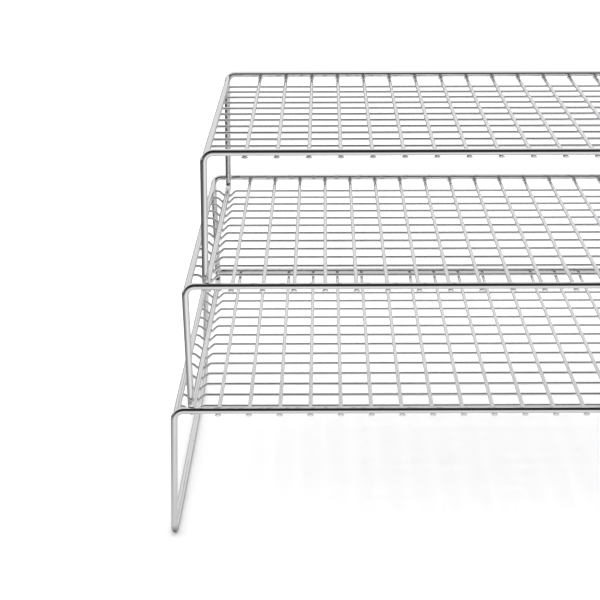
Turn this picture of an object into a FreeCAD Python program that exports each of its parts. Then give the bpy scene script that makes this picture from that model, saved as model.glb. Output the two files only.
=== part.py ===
import FreeCAD, Part
import math
import os

# Tiered shoe rack: three nested wire racks, each standing in grooves bent into
# the deck of the rack below. Millimetres, +Z up, +X along the width, the front
# faces -Y. The origin is on the floor, below the middle of the stack.

# ---- driving dimensions -------------------------------------------------
FRAME_R = 3.1            # frame wire radius (front and rear arches)
SIDE_R = 2.9             # side bar radius
CROSS_R = 1.85           # front-to-back wire radius
LONG_R = 1.3             # left-to-right wire radius
BEND_R = 9.0             # centre-line bend radius of the frame wire
CROSS_PITCH = 28.0       # spacing of the front-to-back wires
LONG_PITCH = 24.0        # spacing of the left-to-right wires
END_GAP = 26.0           # frame bar axis to the nearest left-to-right wire
CROSS_OVERRUN = 1.5      # front-to-back wire past the frame bar axis
GROOVE_DEPTH = 7.0       # drop of a wire's centre line in a groove
GROOVE_SLOPE = 45.0      # flank angle of a groove, degrees
GROOVE_OUTER_R = 6.0     # centre-line radius at a groove's outer mouth
GROOVE_INNER_R = 3.0     # centre-line radius at a groove's inner mouth
SEAT_GAP = 0.3           # play between a foot bar and the groove it rests in

# name, left-to-right wires, front-to-back wires, half width at the deck,
# half width at the feet, height from foot axis to deck bar axis
RACKS = (
    ("bottom", 14, 22, 334.0, 338.5, 127.0),
    ("middle", 13, 21, 321.5, 319.5, 127.0),
    ("top", 12, 20, 302.0, 304.0, 130.5),
)

# ---- heights below a frame bar's axis ------------------------------------
CROSS_DROP = FRAME_R + CROSS_R
LONG_DROP = FRAME_R + 2.0 * CROSS_R + LONG_R
SIDE_DROP = LONG_DROP - LONG_R - SIDE_R
GROOVE_R = FRAME_R + LONG_R + SEAT_GAP
FOOT_DROP = LONG_DROP + GROOVE_DEPTH - GROOVE_R

# ---- the side bars end on the bends at the tops of the legs --------------
SIDE_RISE = BEND_R - SIDE_DROP
SIDE_INSET = BEND_R - math.sqrt(BEND_R ** 2 - SIDE_RISE ** 2)


def fillet_arc(before, corner, after, radius):
    """The tangent arc that rounds one corner of a bent wire's centre line."""
    back = (before - corner).normalize()
    ahead = (after - corner).normalize()
    half_angle = back.getAngle(ahead) / 2.0
    reach = radius / math.tan(half_angle)
    bisector = (back + ahead).normalize()
    middle = corner + bisector * (radius / math.sin(half_angle) - radius)
    return Part.Arc(corner + back * reach, middle, corner + ahead * reach)


def bent_rod(points, radii, rod_radius):
    """A round rod along straight runs joined by bends at the inner points."""
    edges = []
    start = points[0]
    for i, radius in enumerate(radii, start=1):
        arc = fillet_arc(points[i - 1], points[i], points[i + 1], radius)
        edges.append(Part.makeLine(start, arc.StartPoint))
        edges.append(arc.toShape())
        start = arc.EndPoint
    edges.append(Part.makeLine(start, points[-1]))
    direction = points[1] - points[0]
    section = Part.Wire(Part.makeCircle(rod_radius, points[0], direction))
    return Part.Wire(edges).makePipeShell([section], True, False)


def straight_rod(start, end, rod_radius):
    """A straight round rod between two centre-line points."""
    span = end - start
    return Part.makeCylinder(rod_radius, span.Length, start, span)


def frame_rod(half_deck, half_foot, half_depth, deck_z, foot_z, side):
    """One arch of the frame: half foot, leg, deck bar, leg, half foot."""
    y = side * half_depth
    points = [
        FreeCAD.Vector(-half_foot, 0, foot_z),
        FreeCAD.Vector(-half_foot, y, foot_z),
        FreeCAD.Vector(-half_deck, y, deck_z),
        FreeCAD.Vector(half_deck, y, deck_z),
        FreeCAD.Vector(half_foot, y, foot_z),
        FreeCAD.Vector(half_foot, 0, foot_z),
    ]
    return bent_rod(points, [BEND_R] * 4, FRAME_R)


def grooved_wire(half_length, groove_x, y, z):
    """A left-to-right wire with a V groove near each end for a foot bar."""
    slope = math.radians(GROOVE_SLOPE)
    vertex_drop = GROOVE_DEPTH + GROOVE_R * (1.0 / math.cos(slope) - 1.0)
    half_mouth = vertex_drop / math.tan(slope)
    bends = [
        (groove_x - half_mouth, 0.0, GROOVE_INNER_R),
        (groove_x, vertex_drop, GROOVE_R),
        (groove_x + half_mouth, 0.0, GROOVE_OUTER_R),
    ]
    left = [(-x, drop, radius) for x, drop, radius in reversed(bends)]
    points = [FreeCAD.Vector(-half_length, y, z)]
    points += [FreeCAD.Vector(x, y, z - drop) for x, drop, _ in left + bends]
    points.append(FreeCAD.Vector(half_length, y, z))
    return bent_rod(points, [bend[2] for bend in left + bends], LONG_R)


def centred_steps(count, pitch):
    """Positions of evenly spaced wires about the middle of the rack."""
    return [(i - (count - 1) / 2.0) * pitch for i in range(count)]


def export(shape, name):
    shape.exportStep("parts/%s.step" % name)


def build_rack(name, long_count, cross_count, half_deck, deck_z, half_foot, foot_z, groove_x):
    """Write every part of one rack."""
    half_depth = (long_count - 1) * LONG_PITCH / 2.0 + END_GAP

    arches = {}
    for word, side in (("front", -1), ("rear", 1)):
        arches[word] = frame_rod(half_deck, half_foot, half_depth, deck_z, foot_z, side)
        export(arches[word], "%s_%s_frame_rod" % (name, word))

    side_z = deck_z - SIDE_DROP
    for word, side in (("left", -1), ("right", 1)):
        x = side * (half_deck - SIDE_INSET)
        bar = straight_rod(
            FreeCAD.Vector(x, -half_depth, side_z),
            FreeCAD.Vector(x, half_depth, side_z),
            SIDE_R,
        )
        coped = bar.cut(Part.makeCompound(list(arches.values())))
        longest = max(coped.Solids, key=lambda solid: solid.Volume)
        export(longest, "%s_%s_side_bar" % (name, word))

    cross_z = deck_z - CROSS_DROP
    cross_y = half_depth + CROSS_OVERRUN
    cross_wires = [
        straight_rod(
            FreeCAD.Vector(x, -cross_y, cross_z),
            FreeCAD.Vector(x, cross_y, cross_z),
            CROSS_R,
        )
        for x in centred_steps(cross_count, CROSS_PITCH)
    ]
    export(Part.makeCompound(cross_wires), "%s_cross_wires" % name)

    long_z = deck_z - LONG_DROP
    half_length = half_deck - SIDE_INSET + SIDE_R / 2.0
    for number, y in enumerate(centred_steps(long_count, LONG_PITCH), start=1):
        if groove_x is None:
            wire = straight_rod(
                FreeCAD.Vector(-half_length, y, long_z),
                FreeCAD.Vector(half_length, y, long_z),
                LONG_R,
            )
        else:
            wire = grooved_wire(half_length, groove_x, y, long_z)
        export(wire, "%s_long_wire_%02d" % (name, number))


os.makedirs("parts", exist_ok=True)
foot_z = FRAME_R
for i, (name, long_count, cross_count, half_deck, half_foot, height) in enumerate(RACKS):
    deck_z = foot_z + height
    groove_x = RACKS[i + 1][4] if i + 1 < len(RACKS) else None
    build_rack(name, long_count, cross_count, half_deck, deck_z, half_foot, foot_z, groove_x)
    foot_z = deck_z - FOOT_DROP
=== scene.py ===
import math

import bpy
import numpy as np
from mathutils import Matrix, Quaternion, Vector


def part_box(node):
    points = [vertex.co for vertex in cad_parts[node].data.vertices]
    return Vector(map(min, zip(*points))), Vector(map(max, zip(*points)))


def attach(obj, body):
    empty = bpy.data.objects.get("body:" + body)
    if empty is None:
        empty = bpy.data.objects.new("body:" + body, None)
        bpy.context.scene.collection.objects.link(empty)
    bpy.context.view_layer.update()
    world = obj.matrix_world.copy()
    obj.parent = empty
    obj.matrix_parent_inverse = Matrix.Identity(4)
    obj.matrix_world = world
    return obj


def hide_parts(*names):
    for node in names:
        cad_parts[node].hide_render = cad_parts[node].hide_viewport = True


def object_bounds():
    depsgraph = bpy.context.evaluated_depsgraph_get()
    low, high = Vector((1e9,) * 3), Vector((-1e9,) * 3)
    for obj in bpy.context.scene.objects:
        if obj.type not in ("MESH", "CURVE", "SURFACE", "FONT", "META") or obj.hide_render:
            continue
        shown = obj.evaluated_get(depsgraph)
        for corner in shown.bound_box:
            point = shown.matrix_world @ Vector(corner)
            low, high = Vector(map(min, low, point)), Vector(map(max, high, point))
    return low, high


# Looks of the stacked wire shoe rack: every wire is rebuilt as a smooth plated
# tube where the frame has it, with eased cut ends and resistance welds at the
# crossings. Metres; +X along the width, the front faces -Y, +Z up.

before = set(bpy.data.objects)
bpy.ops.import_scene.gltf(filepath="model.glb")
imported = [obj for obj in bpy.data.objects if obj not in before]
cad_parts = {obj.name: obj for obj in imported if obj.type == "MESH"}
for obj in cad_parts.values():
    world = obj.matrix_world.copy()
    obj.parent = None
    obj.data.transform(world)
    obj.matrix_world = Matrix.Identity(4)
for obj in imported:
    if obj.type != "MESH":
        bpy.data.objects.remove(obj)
cad_low, cad_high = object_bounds()

# ---- wire sizes -----------------------------------------------------------
FRAME_R = 0.0031         # frame wire radius
SIDE_R = 0.0029          # side bar radius
CROSS_R = 0.00185        # front-to-back wire radius
LONG_R = 0.0013          # left-to-right wire radius
BEND_R = 0.009           # centre-line bend radius of the frame wire
CROSS_PITCH = 0.028      # spacing of the front-to-back wires
GROOVE_DEPTH = 0.007     # drop of a wire's centre line in a groove
GROOVE_SLOPE = math.radians(45)
GROOVE_OUTER_R = 0.006   # centre-line radius at a groove's outer mouth
GROOVE_INNER_R = 0.003   # centre-line radius at a groove's inner mouth
SEAT_GAP = 0.0003        # clearance between a foot bar and its groove
GROOVE_R = FRAME_R + LONG_R + SEAT_GAP
PRESS_REACH = 0.004      # length of a cross wire's end that the welder squashes
PRESS_WIDER = 0.65       # growth in width at the squashed end
PRESS_THINNER = 0.3      # loss in height there
# how far a rack's feet stand out past its deck at each end, or inside it if negative
FOOT_SPLAY = {"bottom": 0.0045, "middle": -0.002, "top": 0.002}
STACK = ("bottom", "middle", "top")

# ---- how finely the tubes are drawn ---------------------------------------
BEND_STEP = math.radians(5)
FRAME_SIDES = 32
SIDE_SIDES = 28
CROSS_SIDES = 18
LONG_SIDES = 16
GUARD = 0.0009           # rings this close to each end of a run keep its shading straight
GUARD_SHARE = 0.25       # a run is left alone where its guard would take more than this
END_ROUND = 0.0005       # easing of a cut end
CRISP_END_ROUND = 0.0003
CAP_RING = 0.6           # a ring this far out on the flat of a cut end keeps it flat

# ---- welds ----------------------------------------------------------------
HALO = 0.0026            # reach of the heat mark along a wire, each side of a weld
# strength of the mark along it: (share of the reach, strength)
HALO_STOPS = ((-1.0, 0.0), (-0.5, 0.6), (0.0, 1.0), (0.5, 0.6), (1.0, 0.0))
SIDE_HEAT = 0.5          # the thick side bars mark less
NUGGET_ROWS = 6
NUGGET_SIDES = 12
NUGGET_POLE = 0.04       # share of a nugget's turn cut off at each pole
NUGGET_TURN = 2.4        # step of the seed that makes neighbouring nuggets differ
# half sizes of the nuggets
CROSSING_NUGGET = (0.0017, 0.0015, 0.0009)
BAR_NUGGET = (0.0020, 0.0014, 0.0010)
SIDE_NUGGET = (0.0021, 0.0016, 0.0009)
COLLAR = (0.0030, 0.0019, 0.0029)
COLLAR_SINK = 0.0002     # how far a side bar's collar sinks into the frame wire


# ---- shapes ---------------------------------------------------------------

class Shell:
    """Vertices, faces, wire coordinates and weld marks of one piece."""

    def __init__(self):
        self.points = []
        self.faces = []
        self.coords = []
        self.marks = []

    def add_grid(self, rings, marks, lengths, girth):
        """Closed rings joined into a tube, with a flat face on each end."""
        base = len(self.points)
        sides = len(rings[0])
        for ring, mark in zip(rings, marks):
            self.points.extend(ring)
            self.marks.extend([mark] * sides)
        for i in range(len(rings) - 1):
            for j in range(sides):
                k = (j + 1) % sides
                a = base + i * sides
                b = a + sides
                self.faces.append((a + j, a + k, b + k, b + j))
                left, right = girth * j / sides, girth * (j + 1) / sides
                low, high = lengths[i], lengths[i + 1]
                self.coords.extend([(left, low), (right, low), (right, high), (left, high)])
        last = base + (len(rings) - 1) * sides
        self.faces.append(tuple(base + j for j in reversed(range(sides))))
        self.faces.append(tuple(last + j for j in range(sides)))
        self.coords.extend([(0.0, lengths[0])] * sides + [(0.0, lengths[-1])] * sides)


def rounded_route(points, radii):
    """Centre-line points of a bent wire: straight runs joined by tangent arcs."""
    route = [points[0]]
    for before, corner, after, radius in zip(points, points[1:], points[2:], radii):
        back = (before - corner).normalized()
        ahead = (after - corner).normalized()
        half = back.angle(ahead) / 2
        centre = corner + (back + ahead).normalized() * (radius / math.sin(half))
        spoke = corner + back * (radius / math.tan(half)) - centre
        axis = ahead.cross(back).normalized()
        turn = math.pi - 2 * half
        count = max(2, round(turn / BEND_STEP))
        for i in range(count + 1):
            route.append(centre + Quaternion(axis, turn * i / count) @ spoke)
    route.append(points[-1])
    return route


def guarded(route, marks):
    """The route with a ring added just inside both ends of every long straight run."""
    points, heats = [route[0]], [marks[0]]
    for start, finish, first, last in zip(route, route[1:], marks, marks[1:]):
        span = finish - start
        share = GUARD / span.length
        if share < GUARD_SHARE:
            points += [start + span * share, finish - span * share]
            heats += [first + (last - first) * share, last + (first - last) * share]
        points.append(finish)
        heats.append(last)
    return points, heats


def add_tube(shell, route, radius, sides, marks=None, end_round=END_ROUND, press=None):
    """A round tube along a route, with flat cut ends eased by a small radius.

    press, where given, moves each point of a ring from (centre, offset).
    """
    route, marks = guarded(route, marks or [0.0] * len(route))
    start = (route[1] - route[0]).normalized()
    finish = (route[-1] - route[-2]).normalized()
    eased = [(0.0, CAP_RING * (radius - end_round))]
    for angle in (0.0, math.pi / 4, math.pi / 2):
        inset = end_round * (1 - math.cos(angle))
        eased.append((inset, radius - end_round * (1 - math.sin(angle))))
    centres = [route[0] + start * inset for inset, _ in eased]
    widths = [width for _, width in eased]
    centres += route[1:-1]
    widths += [radius] * (len(route) - 2)
    centres += [route[-1] - finish * inset for inset, _ in reversed(eased)]
    widths += [width for _, width in reversed(eased)]
    marks = [marks[0]] * len(eased) + marks[1:-1] + [marks[-1]] * len(eased)

    tangents = [start] * len(eased)
    for before, after in zip(route, route[2:]):
        tangents.append((after - before).normalized())
    tangents += [finish] * len(eased)

    normal = start.orthogonal().normalized()
    rings = []
    lengths = []
    travelled = 0.0
    for i, (centre, tangent, width) in enumerate(zip(centres, tangents, widths)):
        if i:
            normal = tangents[i - 1].rotation_difference(tangent) @ normal
            travelled += (centre - centres[i - 1]).length
        other = tangent.cross(normal)
        ring = []
        for j in range(sides):
            angle = 2 * math.pi * j / sides
            offset = (normal * math.cos(angle) + other * math.sin(angle)) * width
            ring.append(centre + (press(centre, offset) if press else offset))
        rings.append(ring)
        lengths.append(travelled)
    shell.add_grid(rings, marks, lengths, 2 * math.pi * radius)


def add_nugget(shell, centre, size, seed):
    """A slightly uneven weld nugget: a squashed ball with rounded poles."""
    rings = []
    for row in range(NUGGET_ROWS + 1):
        turned = NUGGET_POLE + (1 - 2 * NUGGET_POLE) * row / NUGGET_ROWS
        tilt = math.pi * turned - math.pi / 2
        ring = []
        for j in range(NUGGET_SIDES):
            angle = 2 * math.pi * j / NUGGET_SIDES
            swell = 1 + 0.07 * math.sin(2 * angle + seed) + 0.05 * math.sin(3 * angle + 2.3 * seed)
            flat = math.cos(tilt) * swell
            offset = (size[0] * flat * math.cos(angle), size[1] * flat * math.sin(angle),
                      size[2] * math.sin(tilt))
            ring.append(centre + Vector(offset))
        rings.append(ring)
    marks = [1.0] * len(rings)
    lengths = [size[2] * 2 * row / NUGGET_ROWS for row in range(NUGGET_ROWS + 1)]
    shell.add_grid(rings, marks, lengths, 2 * math.pi * size[0])


def marked_run(start, finish, stops):
    """Route points and heat marks of a straight wire with welds at the stops (0 to 1)."""
    span = finish - start
    reach = HALO / span.length
    clear = GUARD / span.length
    places = {0.0: 0.0, 1.0: 0.0}
    for stop in stops:
        for shift, mark in HALO_STOPS:
            place = stop + shift * reach
            if clear < place < 1.0 - clear:
                places[place] = mark
    ordered = sorted(places)
    return [start + span * place for place in ordered], [places[place] for place in ordered]


def make_piece(name, shell, material, body, nodes=()):
    """A mesh object from a shell, riding on a body and standing for CAD nodes."""
    mesh = bpy.data.meshes.new(name)
    mesh.from_pydata([tuple(point) for point in shell.points], [], shell.faces)
    layer = mesh.uv_layers.new(name="wire")
    layer.data.foreach_set("uv", np.array(shell.coords, float).ravel())
    heat = mesh.attributes.new("heat", "FLOAT", "POINT")
    heat.data.foreach_set("value", np.array(shell.marks, float))
    mesh.polygons.foreach_set("use_smooth", [True] * len(mesh.polygons))
    mesh.materials.append(material)
    mesh.update()
    piece = bpy.data.objects.new(name, mesh)
    bpy.context.scene.collection.objects.link(piece)
    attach(piece, body)
    if nodes:
        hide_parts(*nodes)
    return piece


# ---- materials ------------------------------------------------------------

NOISE_SPAN = (0.3, 0.7)              # the values that a noise texture mostly gives
DRAW_SCALE = (3200.0, 60.0, 1.0)     # draw lines: fine around the wire, long along it
CLOUD_SCALE = 26.0
PIT_SCALE = 900.0
PIT_RELIEF = 0.35                    # depth of the pits against the draw lines
RELIEF_DEPTH = 0.00004
HEAT_ROUGHNESS = 0.08                # roughness added at a weld
HEAT_TONE = (0.8, 0.8, 0.79)         # tone of a weld against the dull plating
COOL = 0.003                         # the plating's slight lean to blue


def map_range(nodes, links, source, low, high):
    """A noise value spread over low..high."""
    node = nodes.new("ShaderNodeMapRange")
    node.inputs["From Min"].default_value = NOISE_SPAN[0]
    node.inputs["From Max"].default_value = NOISE_SPAN[1]
    node.inputs["To Min"].default_value = low
    node.inputs["To Max"].default_value = high
    links.new(source, node.inputs["Value"])
    return node.outputs["Result"]


def noise(nodes, links, vector, scale, detail):
    """The value of a noise texture."""
    node = nodes.new("ShaderNodeTexNoise")
    node.inputs["Scale"].default_value = scale
    node.inputs["Detail"].default_value = detail
    links.new(vector, node.inputs["Vector"])
    return node.outputs["Fac"]


def chrome(name, bright, dull, rough, grain):
    """Bright plating over drawn wire: cloudy tone, fine draw lines, heat marks at the welds."""
    bright = (bright, bright, bright + COOL)
    dull = (dull, dull, dull + COOL)
    material = bpy.data.materials.new(name)
    material.use_nodes = True
    nodes, links = material.node_tree.nodes, material.node_tree.links
    shader = nodes["Principled BSDF"]
    shader.inputs["Metallic"].default_value = 1.0
    place = nodes.new("ShaderNodeTexCoord").outputs["Object"]

    wire = nodes.new("ShaderNodeUVMap")
    wire.uv_map = "wire"
    stretch = nodes.new("ShaderNodeMapping")
    stretch.inputs["Scale"].default_value = DRAW_SCALE
    links.new(wire.outputs["UV"], stretch.inputs["Vector"])
    lines = noise(nodes, links, stretch.outputs["Vector"], 1.0, 2.0)

    clouds = noise(nodes, links, place, CLOUD_SCALE, 3.0)
    tone = nodes.new("ShaderNodeMix")
    tone.data_type = "RGBA"
    tone.inputs["A"].default_value = (*dull, 1.0)
    tone.inputs["B"].default_value = (*bright, 1.0)
    links.new(map_range(nodes, links, clouds, 0.35, 1.0), tone.inputs["Factor"])

    heat = nodes.new("ShaderNodeAttribute")
    heat.attribute_name = "heat"
    burnt = nodes.new("ShaderNodeMix")
    burnt.data_type = "RGBA"
    burnt.inputs["B"].default_value = (*(a * b for a, b in zip(dull, HEAT_TONE)), 1.0)
    links.new(heat.outputs["Fac"], burnt.inputs["Factor"])
    links.new(tone.outputs["Result"], burnt.inputs["A"])
    links.new(burnt.outputs["Result"], shader.inputs["Base Color"])

    pits = noise(nodes, links, place, PIT_SCALE, 4.0)
    gloss = nodes.new("ShaderNodeMath")
    gloss.operation = "MULTIPLY_ADD"
    gloss.inputs[1].default_value = HEAT_ROUGHNESS
    links.new(heat.outputs["Fac"], gloss.inputs[0])
    links.new(map_range(nodes, links, pits, *rough), gloss.inputs[2])
    links.new(gloss.outputs["Value"], shader.inputs["Roughness"])

    relief = nodes.new("ShaderNodeMath")
    relief.operation = "MULTIPLY_ADD"
    relief.inputs[1].default_value = PIT_RELIEF
    links.new(pits, relief.inputs[0])
    links.new(lines, relief.inputs[2])
    bump = nodes.new("ShaderNodeBump")
    bump.inputs["Strength"].default_value = grain
    bump.inputs["Distance"].default_value = RELIEF_DEPTH
    links.new(relief.outputs["Value"], bump.inputs["Height"])
    links.new(bump.outputs["Normal"], shader.inputs["Normal"])
    return material


frame_chrome = chrome("frame_chrome", bright=0.80, dull=0.75, rough=(0.05, 0.09), grain=0.06)
cross_chrome = chrome("cross_wire_chrome", bright=0.83, dull=0.78, rough=(0.07, 0.12), grain=0.07)
long_chrome = chrome("long_wire_chrome", bright=0.76, dull=0.69, rough=(0.16, 0.22), grain=0.07)
weld_chrome = chrome("weld_chrome", bright=0.86, dull=0.78, rough=(0.22, 0.34), grain=0.30)


# ---- the racks ------------------------------------------------------------

class Rack:
    """Main lines of one rack, read from its CAD nodes."""

    def __init__(self, name):
        self.name = name
        self.body = name + "_rack"
        low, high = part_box(name + "_front_frame_rod")
        self.deck_z = high.z - FRAME_R
        self.foot_z = low.z + FRAME_R
        self.half_depth = -low.y - FRAME_R
        self.half_deck = high.x - FRAME_R - max(FOOT_SPLAY[name], 0.0)
        self.half_foot = self.half_deck + FOOT_SPLAY[name]
        side_low, side_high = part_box(name + "_right_side_bar")
        self.side_x = (side_low.x + side_high.x) / 2
        self.side_z = (side_low.z + side_high.z) / 2
        cross_low, cross_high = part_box(name + "_cross_wires")
        count = round((cross_high.x - cross_low.x - 2 * CROSS_R) / CROSS_PITCH) + 1
        self.cross_x = [(i - (count - 1) / 2) * CROSS_PITCH for i in range(count)]
        self.cross_end = cross_high.y
        self.cross_z = self.deck_z - FRAME_R - CROSS_R
        prefix = name + "_long_wire_"
        self.long_nodes = sorted(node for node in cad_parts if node.startswith(prefix))
        self.long_y = [sum(corner.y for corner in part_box(node)) / 2 for node in self.long_nodes]
        self.long_z = self.cross_z - CROSS_R - LONG_R
        self.long_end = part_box(self.long_nodes[0])[1].x


def build_frame_rods(rack):
    """The front and rear arches, each from the middle of one foot bar to the other's."""
    for word, side in (("front", -1), ("rear", 1)):
        y = side * rack.half_depth
        points = [
            Vector((-rack.half_foot, 0, rack.foot_z)),
            Vector((-rack.half_foot, y, rack.foot_z)),
            Vector((-rack.half_deck, y, rack.deck_z)),
            Vector((rack.half_deck, y, rack.deck_z)),
            Vector((rack.half_foot, y, rack.foot_z)),
            Vector((rack.half_foot, 0, rack.foot_z)),
        ]
        shell = Shell()
        route = rounded_route(points, [BEND_R] * 4)
        add_tube(shell, route, FRAME_R, FRAME_SIDES, end_round=CRISP_END_ROUND)
        node = "%s_%s_frame_rod" % (rack.name, word)
        make_piece(node + "_plated", shell, frame_chrome, rack.body, [node])


def build_side_bars(rack):
    """The bars that join the two arches at the ends of the deck."""
    for word, side in (("left", -1), ("right", 1)):
        shell = Shell()
        x = side * rack.side_x
        ends = [Vector((x, y, rack.side_z)) for y in (-rack.half_depth, rack.half_depth)]
        span = ends[1].y - ends[0].y
        stops = [(y - ends[0].y) / span for y in rack.long_y]
        route, marks = marked_run(ends[0], ends[1], stops)
        add_tube(shell, route, SIDE_R, SIDE_SIDES, [mark * SIDE_HEAT for mark in marks])
        node = "%s_%s_side_bar" % (rack.name, word)
        make_piece(node + "_plated", shell, frame_chrome, rack.body, [node])


def build_cross_wires(rack):
    """The front-to-back wires, in one piece."""
    def pressed_end(centre, offset):
        """Wider and thinner toward the end, where it is squashed against the frame bar."""
        near = 1 - min((rack.cross_end - abs(centre.y)) / PRESS_REACH, 1.0)
        ease = near * near * (3 - 2 * near)
        wider = 1 + PRESS_WIDER * ease
        lost = PRESS_THINNER * ease
        return Vector((offset.x * wider, offset.y, offset.z * (1 - lost) + CROSS_R * lost))

    shell = Shell()
    for x in rack.cross_x:
        start = Vector((x, -rack.cross_end, rack.cross_z))
        finish = Vector((x, rack.cross_end, rack.cross_z))
        welded = [-rack.half_depth] + rack.long_y + [rack.half_depth]
        stops = [(y + rack.cross_end) / (2 * rack.cross_end) for y in welded]
        route, marks = marked_run(start, finish, stops)
        add_tube(shell, route, CROSS_R, CROSS_SIDES, marks, CRISP_END_ROUND, pressed_end)
    node = rack.name + "_cross_wires"
    make_piece(node + "_plated", shell, cross_chrome, rack.body, [node])


def groove_bends(groove_x):
    """Corner points (x, drop, radius) of one V groove."""
    vertex_drop = GROOVE_DEPTH + GROOVE_R * (1 / math.cos(GROOVE_SLOPE) - 1)
    half_mouth = vertex_drop / math.tan(GROOVE_SLOPE)
    return [
        (groove_x - half_mouth, 0.0, GROOVE_INNER_R),
        (groove_x, vertex_drop, GROOVE_R),
        (groove_x + half_mouth, 0.0, GROOVE_OUTER_R),
    ]


def build_long_wires(rack, groove_x):
    """The left-to-right wires, with a groove near each end where a rack stands on them."""
    half_run = rack.cross_x[-1] + CROSS_PITCH / 4
    stops = [(x + half_run) / (2 * half_run) for x in rack.cross_x]
    for node, y in zip(rack.long_nodes, rack.long_y):
        end = Vector((rack.long_end, y, rack.long_z))
        middle, marks = marked_run(
            Vector((-half_run, y, rack.long_z)), Vector((half_run, y, rack.long_z)), stops
        )
        tail = []
        if groove_x is not None:
            bends = groove_bends(groove_x)
            corners = [Vector((x, y, rack.long_z - drop)) for x, drop, _ in bends]
            radii = [radius for _, _, radius in bends]
            tail = rounded_route([middle[-1]] + corners + [end], radii)[1:-1]
        tail.append(end)
        head = [Vector((-point.x, point.y, point.z)) for point in reversed(tail)]
        shell = Shell()
        heat = [0.0] * len(head) + marks + [0.0] * len(tail)
        add_tube(shell, head + middle + tail, LONG_R, LONG_SIDES, heat)
        make_piece(node + "_plated", shell, long_chrome, rack.body, [node])


def build_welds(rack):
    """Nuggets at every crossing and collars where the side bars meet the frame."""
    shell = Shell()
    crossing_z = rack.cross_z - CROSS_R
    bar_z = rack.deck_z - FRAME_R
    collar_y = rack.half_depth - FRAME_R + COLLAR_SINK
    welds = []
    for x in rack.cross_x:
        welds += [((x, y, crossing_z), CROSSING_NUGGET) for y in rack.long_y]
        welds += [((x, end * rack.half_depth, bar_z), BAR_NUGGET) for end in (-1, 1)]
    for side in (-1, 1):
        x = side * rack.side_x
        welds += [((x, y, crossing_z), SIDE_NUGGET) for y in rack.long_y]
        welds += [((x, end * collar_y, rack.side_z), COLLAR) for end in (-1, 1)]
    seed = 0.0
    for place, size in welds:
        seed += NUGGET_TURN
        add_nugget(shell, Vector(place), size, seed)
    make_piece(rack.name + "_welds", shell, weld_chrome, rack.body)


racks = [Rack(name) for name in STACK]
for rack, above in zip(racks, racks[1:] + [None]):
    build_frame_rods(rack)
    build_side_bars(rack)
    build_cross_wires(rack)
    build_long_wires(rack, above.half_foot if above else None)
    build_welds(rack)


# ---- studio ---------------------------------------------------------------

SHEET_HALF = 6.0         # half width of the floor and of the sheet overhead
STUDIO_LIGHT = 1.22
# What the plating mirrors of the room, from the front horizon (0) over the top
# to the rear horizon (1): (share of the turn, brightness).
ROOM_STOPS = ((0.0, 0.40), (0.05, 0.12), (0.09, 0.03), (0.46, 0.02), (0.56, 0.91), (1.0, 0.83))
# What it mirrors of the sheet overhead: (y, brightness).
OVERHEAD_Z = 0.8
OVERHEAD_STOPS = (
    (-6.0, 0.25), (-3.7, 0.12), (-2.1, 0.03), (-0.23, 0.02),
    (-0.05, 0.91), (1.0, 0.86), (6.0, 0.83),
)
# The painted reflection that the plating mirrors of the floor: its brightness by the distance out
# past the left end and past the front. The fade ahead comes later toward the right.
LEFT_STOPS = (
    (0.0, 1.0), (0.06, 0.82), (0.16, 0.6), (0.3, 0.40), (0.45, 0.31), (0.65, 0.17), (1.0, 0.13),
)
AHEAD_STOPS = ((0.0, 0.72), (0.25, 1.0), (0.42, 1.0), (0.7, 0.80), (1.0, 0.45))
LATER_START = -0.4       # x where the fade ahead begins to come later
LATER_STOPS = ((0.0, 0.85), (0.8, 0.35))
CONTACT_REACH = 0.025    # width of the contact shade beside a foot bar
CONTACT_STOPS = ((0.0, 0.2), (0.25, 0.55), (1.0, 1.0))
FIBRE_SCALE = 300.0
FIBRE_STOPS = ((0.3, 0.93), (0.7, 0.95))
SOFTBOX_OFFSET = Vector((0.5, 0.6, 2.0))
SOFTBOX_SIZE = (1.4, 1.1)
SOFTBOX_WATTS = 20.0
CAMERA_PLACE = (-0.196, -1.324, 0.691)
CAMERA_PITCH = math.radians(19.2)    # looking down
CAMERA_ROLL = 0.0024
CAMERA_YAW = -0.0008
CAMERA_LENS = 83.2
CAMERA_SHIFT = (-0.042, -0.0985)


def glossy_rays(nodes):
    """1 for rays that the plating mirrors, 0 for all others."""
    return nodes.new("ShaderNodeLightPath").outputs["Is Glossy Ray"]


def ramp(nodes, links, source, stops):
    """A colour ramp of greys from (position, brightness) pairs."""
    node = nodes.new("ShaderNodeValToRGB")
    elements = node.color_ramp.elements
    while len(elements) < len(stops):
        elements.new(0.5)
    for element, (position, value) in zip(elements, stops):
        element.position = position
        element.color = (value, value, value, 1.0)
    links.new(source, node.inputs["Fac"])
    return node.outputs["Color"]


def math_node(nodes, links, operation, first, second=None):
    """A Math node fed by sockets or numbers."""
    node = nodes.new("ShaderNodeMath")
    node.operation = operation
    for socket, value in zip(node.inputs, (first, second)):
        if value is None:
            continue
        if isinstance(value, float):
            socket.default_value = value
        else:
            links.new(value, socket)
    return node.outputs["Value"]


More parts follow.
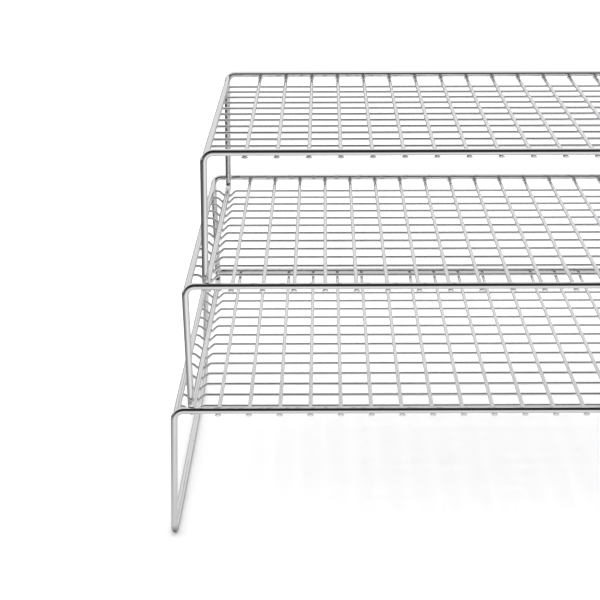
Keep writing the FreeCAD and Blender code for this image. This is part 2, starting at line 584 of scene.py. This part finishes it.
def make_world():
    """Even white light. The plating mirrors a lit wall behind the rack and a dark room in front."""
    world = bpy.data.worlds.new("studio")
    bpy.context.scene.world = world
    world.use_nodes = True
    nodes, links = world.node_tree.nodes, world.node_tree.links
    background = nodes["Background"]
    split = nodes.new("ShaderNodeSeparateXYZ")
    links.new(nodes.new("ShaderNodeTexCoord").outputs["Generated"], split.inputs["Vector"])
    toward_front = math_node(nodes, links, "MULTIPLY", split.outputs["Y"], -1.0)
    turn = math_node(nodes, links, "ARCTAN2", split.outputs["Z"], toward_front)
    share = math_node(nodes, links, "DIVIDE", turn, math.pi)
    room = ramp(nodes, links, share, ROOM_STOPS)
    mix = nodes.new("ShaderNodeMix")
    mix.data_type = "RGBA"
    mix.inputs["A"].default_value = (STUDIO_LIGHT, STUDIO_LIGHT, STUDIO_LIGHT, 1.0)
    links.new(glossy_rays(nodes), mix.inputs["Factor"])
    links.new(room, mix.inputs["B"])
    links.new(mix.outputs["Result"], background.inputs["Color"])


def level_sheet(name, height, material):
    """A large level square."""
    mesh = bpy.data.meshes.new(name)
    corners = ((-1, -1), (1, -1), (1, 1), (-1, 1))
    points = [(x * SHEET_HALF, y * SHEET_HALF, height) for x, y in corners]
    mesh.from_pydata(points, [], [(0, 1, 2, 3)])
    mesh.materials.append(material)
    sheet = bpy.data.objects.new(name, mesh)
    bpy.context.scene.collection.objects.link(sheet)
    return sheet


def make_floor():
    """A pale floor. The plating's mirror rays see a painted reflection on it instead: a glow that
    fades a short way from the rack, with painted contact shade beside the lowest rack's foot bars.
    """
    material = bpy.data.materials.new("floor_paper")
    floor = level_sheet("floor", 0, material)

    material.use_nodes = True
    nodes, links = material.node_tree.nodes, material.node_tree.links
    shader = nodes["Principled BSDF"]
    shader.inputs["Roughness"].default_value = 0.9
    shader.inputs["Specular IOR Level"].default_value = 0.0
    place = nodes.new("ShaderNodeTexCoord").outputs["Object"]
    fibre = noise(nodes, links, place, FIBRE_SCALE, 3.0)
    links.new(ramp(nodes, links, fibre, FIBRE_STOPS), shader.inputs["Base Color"])

    # painted reflection for the plating's mirror rays: a glow that fades out past the left end and
    # past the front
    split = nodes.new("ShaderNodeSeparateXYZ")
    links.new(place, split.inputs["Vector"])
    left = math_node(nodes, links, "MULTIPLY", split.outputs["X"], -1.0)
    left = math_node(nodes, links, "SUBTRACT", left, cad_high.x)
    left = math_node(nodes, links, "MAXIMUM", left, 0.0)
    ahead = math_node(nodes, links, "MULTIPLY", split.outputs["Y"], -1.0)
    ahead = math_node(nodes, links, "SUBTRACT", ahead, cad_high.y)
    ahead = math_node(nodes, links, "MAXIMUM", ahead, 0.0)
    rightward = math_node(nodes, links, "SUBTRACT", split.outputs["X"], LATER_START)
    later = ramp(nodes, links, rightward, LATER_STOPS)
    ahead = math_node(nodes, links, "MULTIPLY", ahead, later)
    fade_left = ramp(nodes, links, left, LEFT_STOPS)
    fade_ahead = ramp(nodes, links, ahead, AHEAD_STOPS)
    painted_reflection = math_node(nodes, links, "MULTIPLY", fade_left, fade_ahead)

    # painted contact shade in the floor's mirrored glow, by the distance from the nearer foot bar
    # of the lowest rack
    across = math_node(nodes, links, "ABSOLUTE", split.outputs["X"])
    across = math_node(nodes, links, "SUBTRACT", across, racks[0].half_foot)
    beyond = math_node(nodes, links, "ABSOLUTE", split.outputs["Y"])
    beyond = math_node(nodes, links, "SUBTRACT", beyond, racks[0].half_depth)
    beyond = math_node(nodes, links, "MAXIMUM", beyond, 0.0)
    near = math_node(nodes, links, "MULTIPLY", across, across)
    near = math_node(nodes, links, "ADD", near, math_node(nodes, links, "MULTIPLY", beyond, beyond))
    near = math_node(nodes, links, "SQRT", near)
    near = math_node(nodes, links, "DIVIDE", near, CONTACT_REACH)
    contact = ramp(nodes, links, near, CONTACT_STOPS)
    painted_reflection = math_node(nodes, links, "MULTIPLY", painted_reflection, contact)
    glow = nodes.new("ShaderNodeEmission")
    links.new(painted_reflection, glow.inputs["Color"])
    choose = nodes.new("ShaderNodeMixShader")
    links.new(glossy_rays(nodes), choose.inputs["Fac"])
    links.new(shader.outputs["BSDF"], choose.inputs[1])
    links.new(glow.outputs["Emission"], choose.inputs[2])
    links.new(choose.outputs["Shader"], nodes["Material Output"].inputs["Surface"])


def make_overhead():
    """A sheet that only the plating mirrors: dark above the rack's front, lit above its rear."""
    material = bpy.data.materials.new("overhead_light")
    sheet = level_sheet("overhead", OVERHEAD_Z, material)
    sheet.visible_camera = False
    sheet.visible_diffuse = False
    sheet.visible_transmission = False
    sheet.visible_shadow = False

    material.use_nodes = True
    nodes, links = material.node_tree.nodes, material.node_tree.links
    split = nodes.new("ShaderNodeSeparateXYZ")
    links.new(nodes.new("ShaderNodeTexCoord").outputs["Object"], split.inputs["Vector"])
    share = math_node(nodes, links, "ADD", split.outputs["Y"], SHEET_HALF)
    share = math_node(nodes, links, "DIVIDE", share, 2 * SHEET_HALF)
    stops = [((y + SHEET_HALF) / (2 * SHEET_HALF), value) for y, value in OVERHEAD_STOPS]
    glow = nodes.new("ShaderNodeEmission")
    links.new(ramp(nodes, links, share, stops), glow.inputs["Color"])
    links.new(glow.outputs["Emission"], nodes["Material Output"].inputs["Surface"])


def make_light(name, place, target, size, watts):
    """A soft rectangular lamp. It isn't mirrored."""
    light = bpy.data.lights.new(name, "AREA")
    light.shape = "RECTANGLE"
    light.size, light.size_y = size
    light.energy = watts
    lamp = bpy.data.objects.new(name, light)
    lamp.location = place
    lamp.rotation_euler = (target - place).to_track_quat("-Z", "Y").to_euler()
    lamp.visible_glossy = False
    bpy.context.scene.collection.objects.link(lamp)


def make_camera():
    """Above and in front of the rack, left of its middle, with the right end out of view."""
    data = bpy.data.cameras.new("camera")
    data.sensor_width = 36.0
    data.lens = CAMERA_LENS
    data.shift_x, data.shift_y = CAMERA_SHIFT
    camera = bpy.data.objects.new("camera", data)
    camera.location = CAMERA_PLACE
    camera.rotation_euler = (math.radians(90) - CAMERA_PITCH, CAMERA_ROLL, CAMERA_YAW)
    bpy.context.scene.collection.objects.link(camera)
    bpy.context.scene.camera = camera


make_world()
make_floor()
make_overhead()
middle = (cad_low + cad_high) / 2
make_light("overhead_softbox", middle + SOFTBOX_OFFSET, middle, SOFTBOX_SIZE, SOFTBOX_WATTS)
make_camera()
bpy.context.scene.view_settings.view_transform = "Standard"
